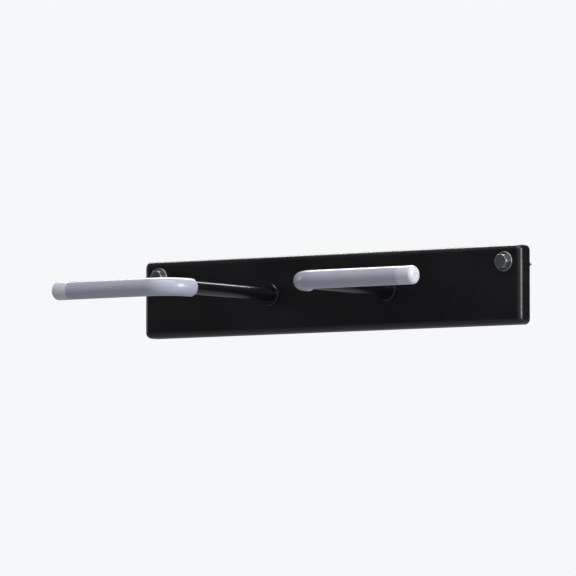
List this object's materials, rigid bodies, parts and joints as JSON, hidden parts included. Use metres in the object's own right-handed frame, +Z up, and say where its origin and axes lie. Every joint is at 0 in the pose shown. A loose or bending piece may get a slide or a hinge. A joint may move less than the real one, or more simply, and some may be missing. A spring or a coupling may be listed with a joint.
{
  "type": "bicycle wall rack",
  "caption": "Wall rack for hanging bicycles by the front wheel: a black steel channel rail with bent bar hooks in grey vinyl sleeves, held to the wall by lag screws.",
  "frame": {"origin": "on the face of the wall, midway between the two wall screws", "axes": "+X along the wall to the right as one faces it, +Y into the wall, +Z up"},
  "size_m": [0.4444, 0.2198, 0.0762],
  "materials": {
    "rail_powder_coat": "black powder coat, satin to semi-gloss with a faint orange-peel texture",
    "hook_powder_coat": "black powder coat, semi-gloss",
    "plate_powder_coat": "black powder coat, satin",
    "cap_plastic": "black moulded polypropylene with a fine spark-eroded texture",
    "sleeve_vinyl": "light silver-grey extruded vinyl, satin",
    "tip_vinyl": "light silver-grey moulded vinyl, satin",
    "black_fastener": "black oxide steel, lightly oiled, worn on the corners",
    "zinc_steel": "bright zinc plate over machined steel"
  },
  "bodies": {
    "root": {"rail_channel": "rail_powder_coat", "end_cap_left": "cap_plastic", "end_cap_right": "cap_plastic", "hook_left": "hook_powder_coat", "hook_right": "hook_powder_coat", "hook_collar_left": "hook_powder_coat", "hook_collar_right": "hook_powder_coat", "hook_backing_plate_left": "plate_powder_coat", "hook_backing_plate_right": "plate_powder_coat", "hook_spring_washer_left": "zinc_steel", "hook_spring_washer_right": "zinc_steel", "hook_nut_left": "zinc_steel", "hook_nut_right": "zinc_steel", "hook_sleeve_left": "sleeve_vinyl", "hook_sleeve_right": "sleeve_vinyl", "hook_tip_cap_left": "tip_vinyl", "hook_tip_cap_right": "tip_vinyl", "wall_screw_left": "black_fastener", "wall_screw_right": "black_fastener", "wall_washer_left": "black_fastener", "wall_washer_right": "black_fastener", "wall_spacer_left": "zinc_steel", "wall_spacer_right": "zinc_steel"}
  },
  "joints": []
}
